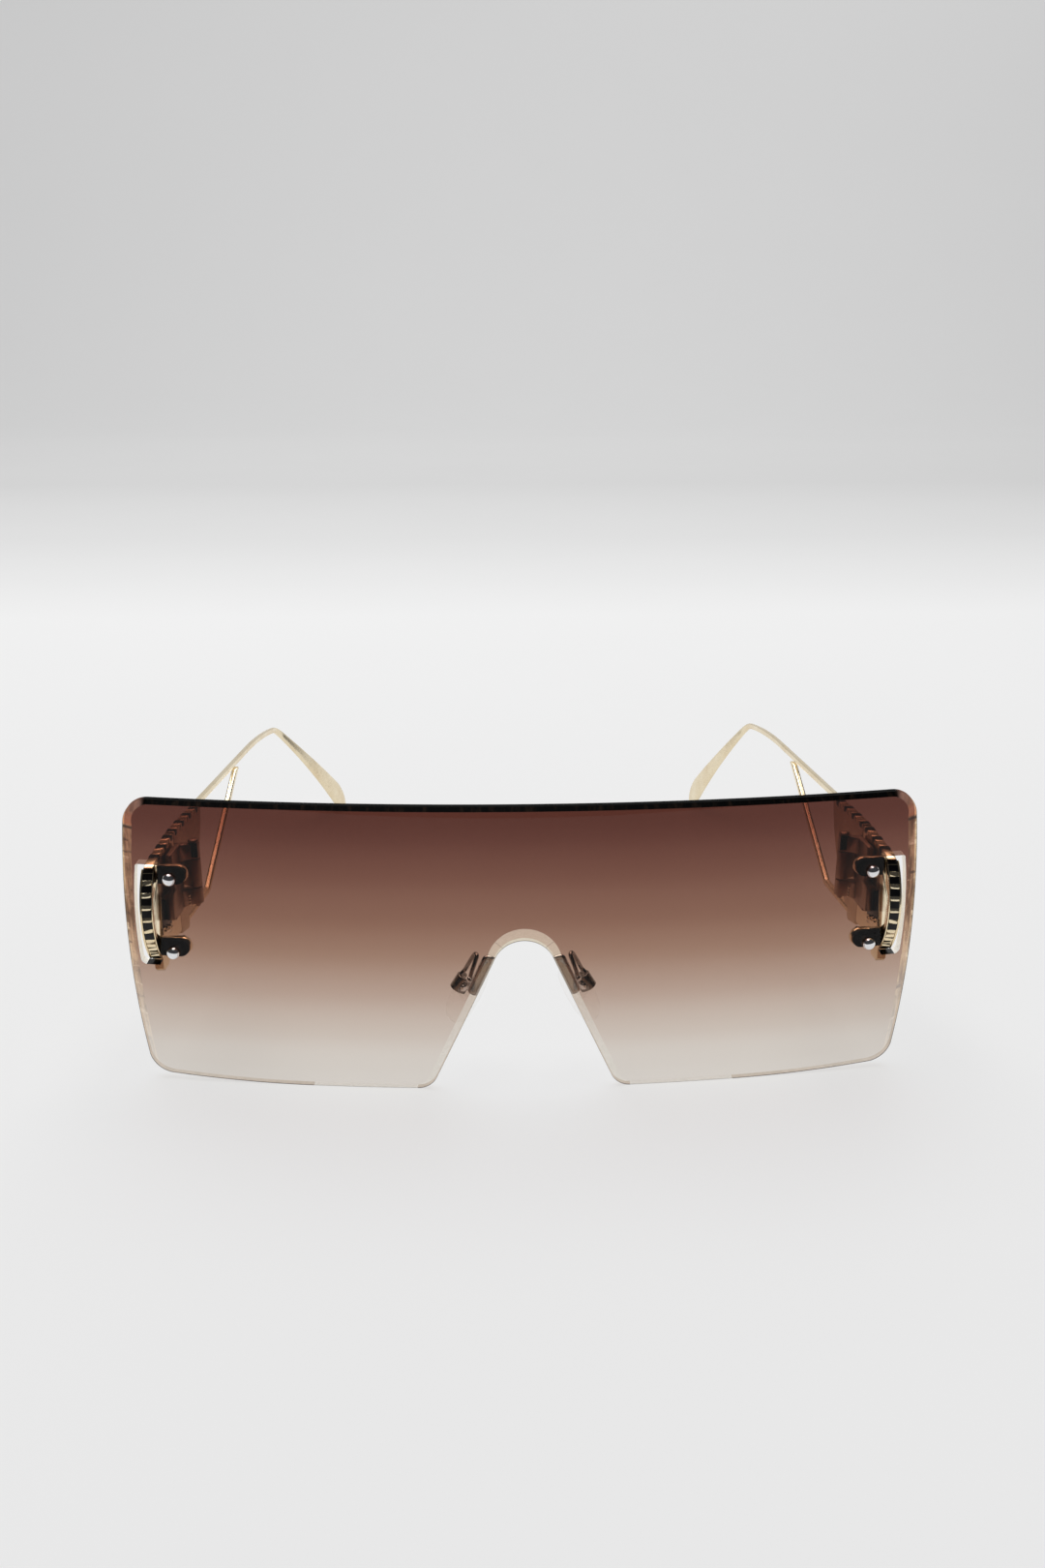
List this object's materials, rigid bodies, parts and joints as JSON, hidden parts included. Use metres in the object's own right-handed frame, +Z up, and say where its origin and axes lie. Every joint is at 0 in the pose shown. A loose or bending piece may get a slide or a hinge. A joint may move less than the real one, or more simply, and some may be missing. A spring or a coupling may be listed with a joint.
{
  "type": "rimless shield sunglasses",
  "caption": "Rimless flat-top shield sunglasses with a graded brown lens, gold slotted side plates, folding temples with open braces and clear rocking nose pads.",
  "frame": {"origin": "middle of the footprint, on the surface that the glasses stand on with their temples open", "axes": "+X across the face towards the side named right, which is on the right when the lens is seen from the front; +Y back along the temples, so the lens faces -Y; +Z up"},
  "size_m": [0.147, 0.1434, 0.0558],
  "materials": {
    "tinted_lens": "polished, graded tint",
    "pale_gold": "polished pale gold plate",
    "bright_steel": "polished",
    "dark_steel": "dark polished",
    "black_gasket": "black, satin",
    "clear_sleeve": "clear",
    "clear_silicone": "clear, soft"
  },
  "bodies": {
    "front": {"shield_lens": "tinted_lens", "left_upper_mount_screw": "bright_steel", "left_upper_mount_sleeve": "clear_sleeve", "left_upper_mount_nut": "bright_steel", "left_upper_mount_gasket": "black_gasket", "left_lower_mount_screw": "bright_steel", "left_lower_mount_sleeve": "clear_sleeve", "left_lower_mount_nut": "bright_steel", "left_lower_mount_gasket": "black_gasket", "right_upper_mount_screw": "bright_steel", "right_upper_mount_sleeve": "clear_sleeve", "right_upper_mount_nut": "bright_steel", "right_upper_mount_gasket": "black_gasket", "right_lower_mount_screw": "bright_steel", "right_lower_mount_sleeve": "clear_sleeve", "right_lower_mount_nut": "bright_steel", "right_lower_mount_gasket": "black_gasket", "left_end_piece": "pale_gold", "left_hinge_front_leaf": "pale_gold", "left_hinge_screw": "bright_steel", "left_pad_bracket": "dark_steel", "left_pad_arm": "dark_steel", "left_pad_box": "dark_steel", "left_pad_screw": "bright_steel", "right_end_piece": "pale_gold", "right_hinge_front_leaf": "pale_gold", "right_hinge_screw": "bright_steel", "right_pad_bracket": "dark_steel", "right_pad_arm": "dark_steel", "right_pad_box": "dark_steel", "right_pad_screw": "bright_steel"},
    "left_temple": {"left_hinge_rear_leaf": "pale_gold", "left_temple_plate": "pale_gold", "left_temple_arm": "pale_gold", "left_temple_strut": "pale_gold"},
    "right_temple": {"right_hinge_rear_leaf": "pale_gold", "right_temple_plate": "pale_gold", "right_temple_arm": "pale_gold", "right_temple_strut": "pale_gold"},
    "left_pad": {"left_nose_pad": "clear_silicone", "left_pad_core": "dark_steel"},
    "right_pad": {"right_nose_pad": "clear_silicone", "right_pad_core": "dark_steel"}
  },
  "joints": [
    {"name": "left_temple_fold", "type": "hinge", "parent": "front", "child": "left_temple", "pos_m": [-0.064, -0.04762, 0.03492], "axis": [0, -0.0802, -0.9968], "range_deg": [0, 88]},
    {"name": "right_temple_fold", "type": "hinge", "parent": "front", "child": "right_temple", "pos_m": [0.064, -0.04762, 0.03492], "axis": [0, 0.0802, 0.9968], "range_deg": [0, 78]},
    {"name": "left_pad_rock", "type": "hinge", "parent": "front", "child": "left_pad", "pos_m": [-0.01195, -0.06269, 0.01811], "axis": [-0.3713, 0.9178, 0.1407], "range_deg": [-10, 10]},
    {"name": "right_pad_rock", "type": "hinge", "parent": "front", "child": "right_pad", "pos_m": [0.01195, -0.06269, 0.01811], "axis": [0.3713, 0.9178, 0.1407], "range_deg": [-10, 10]}
  ]
}
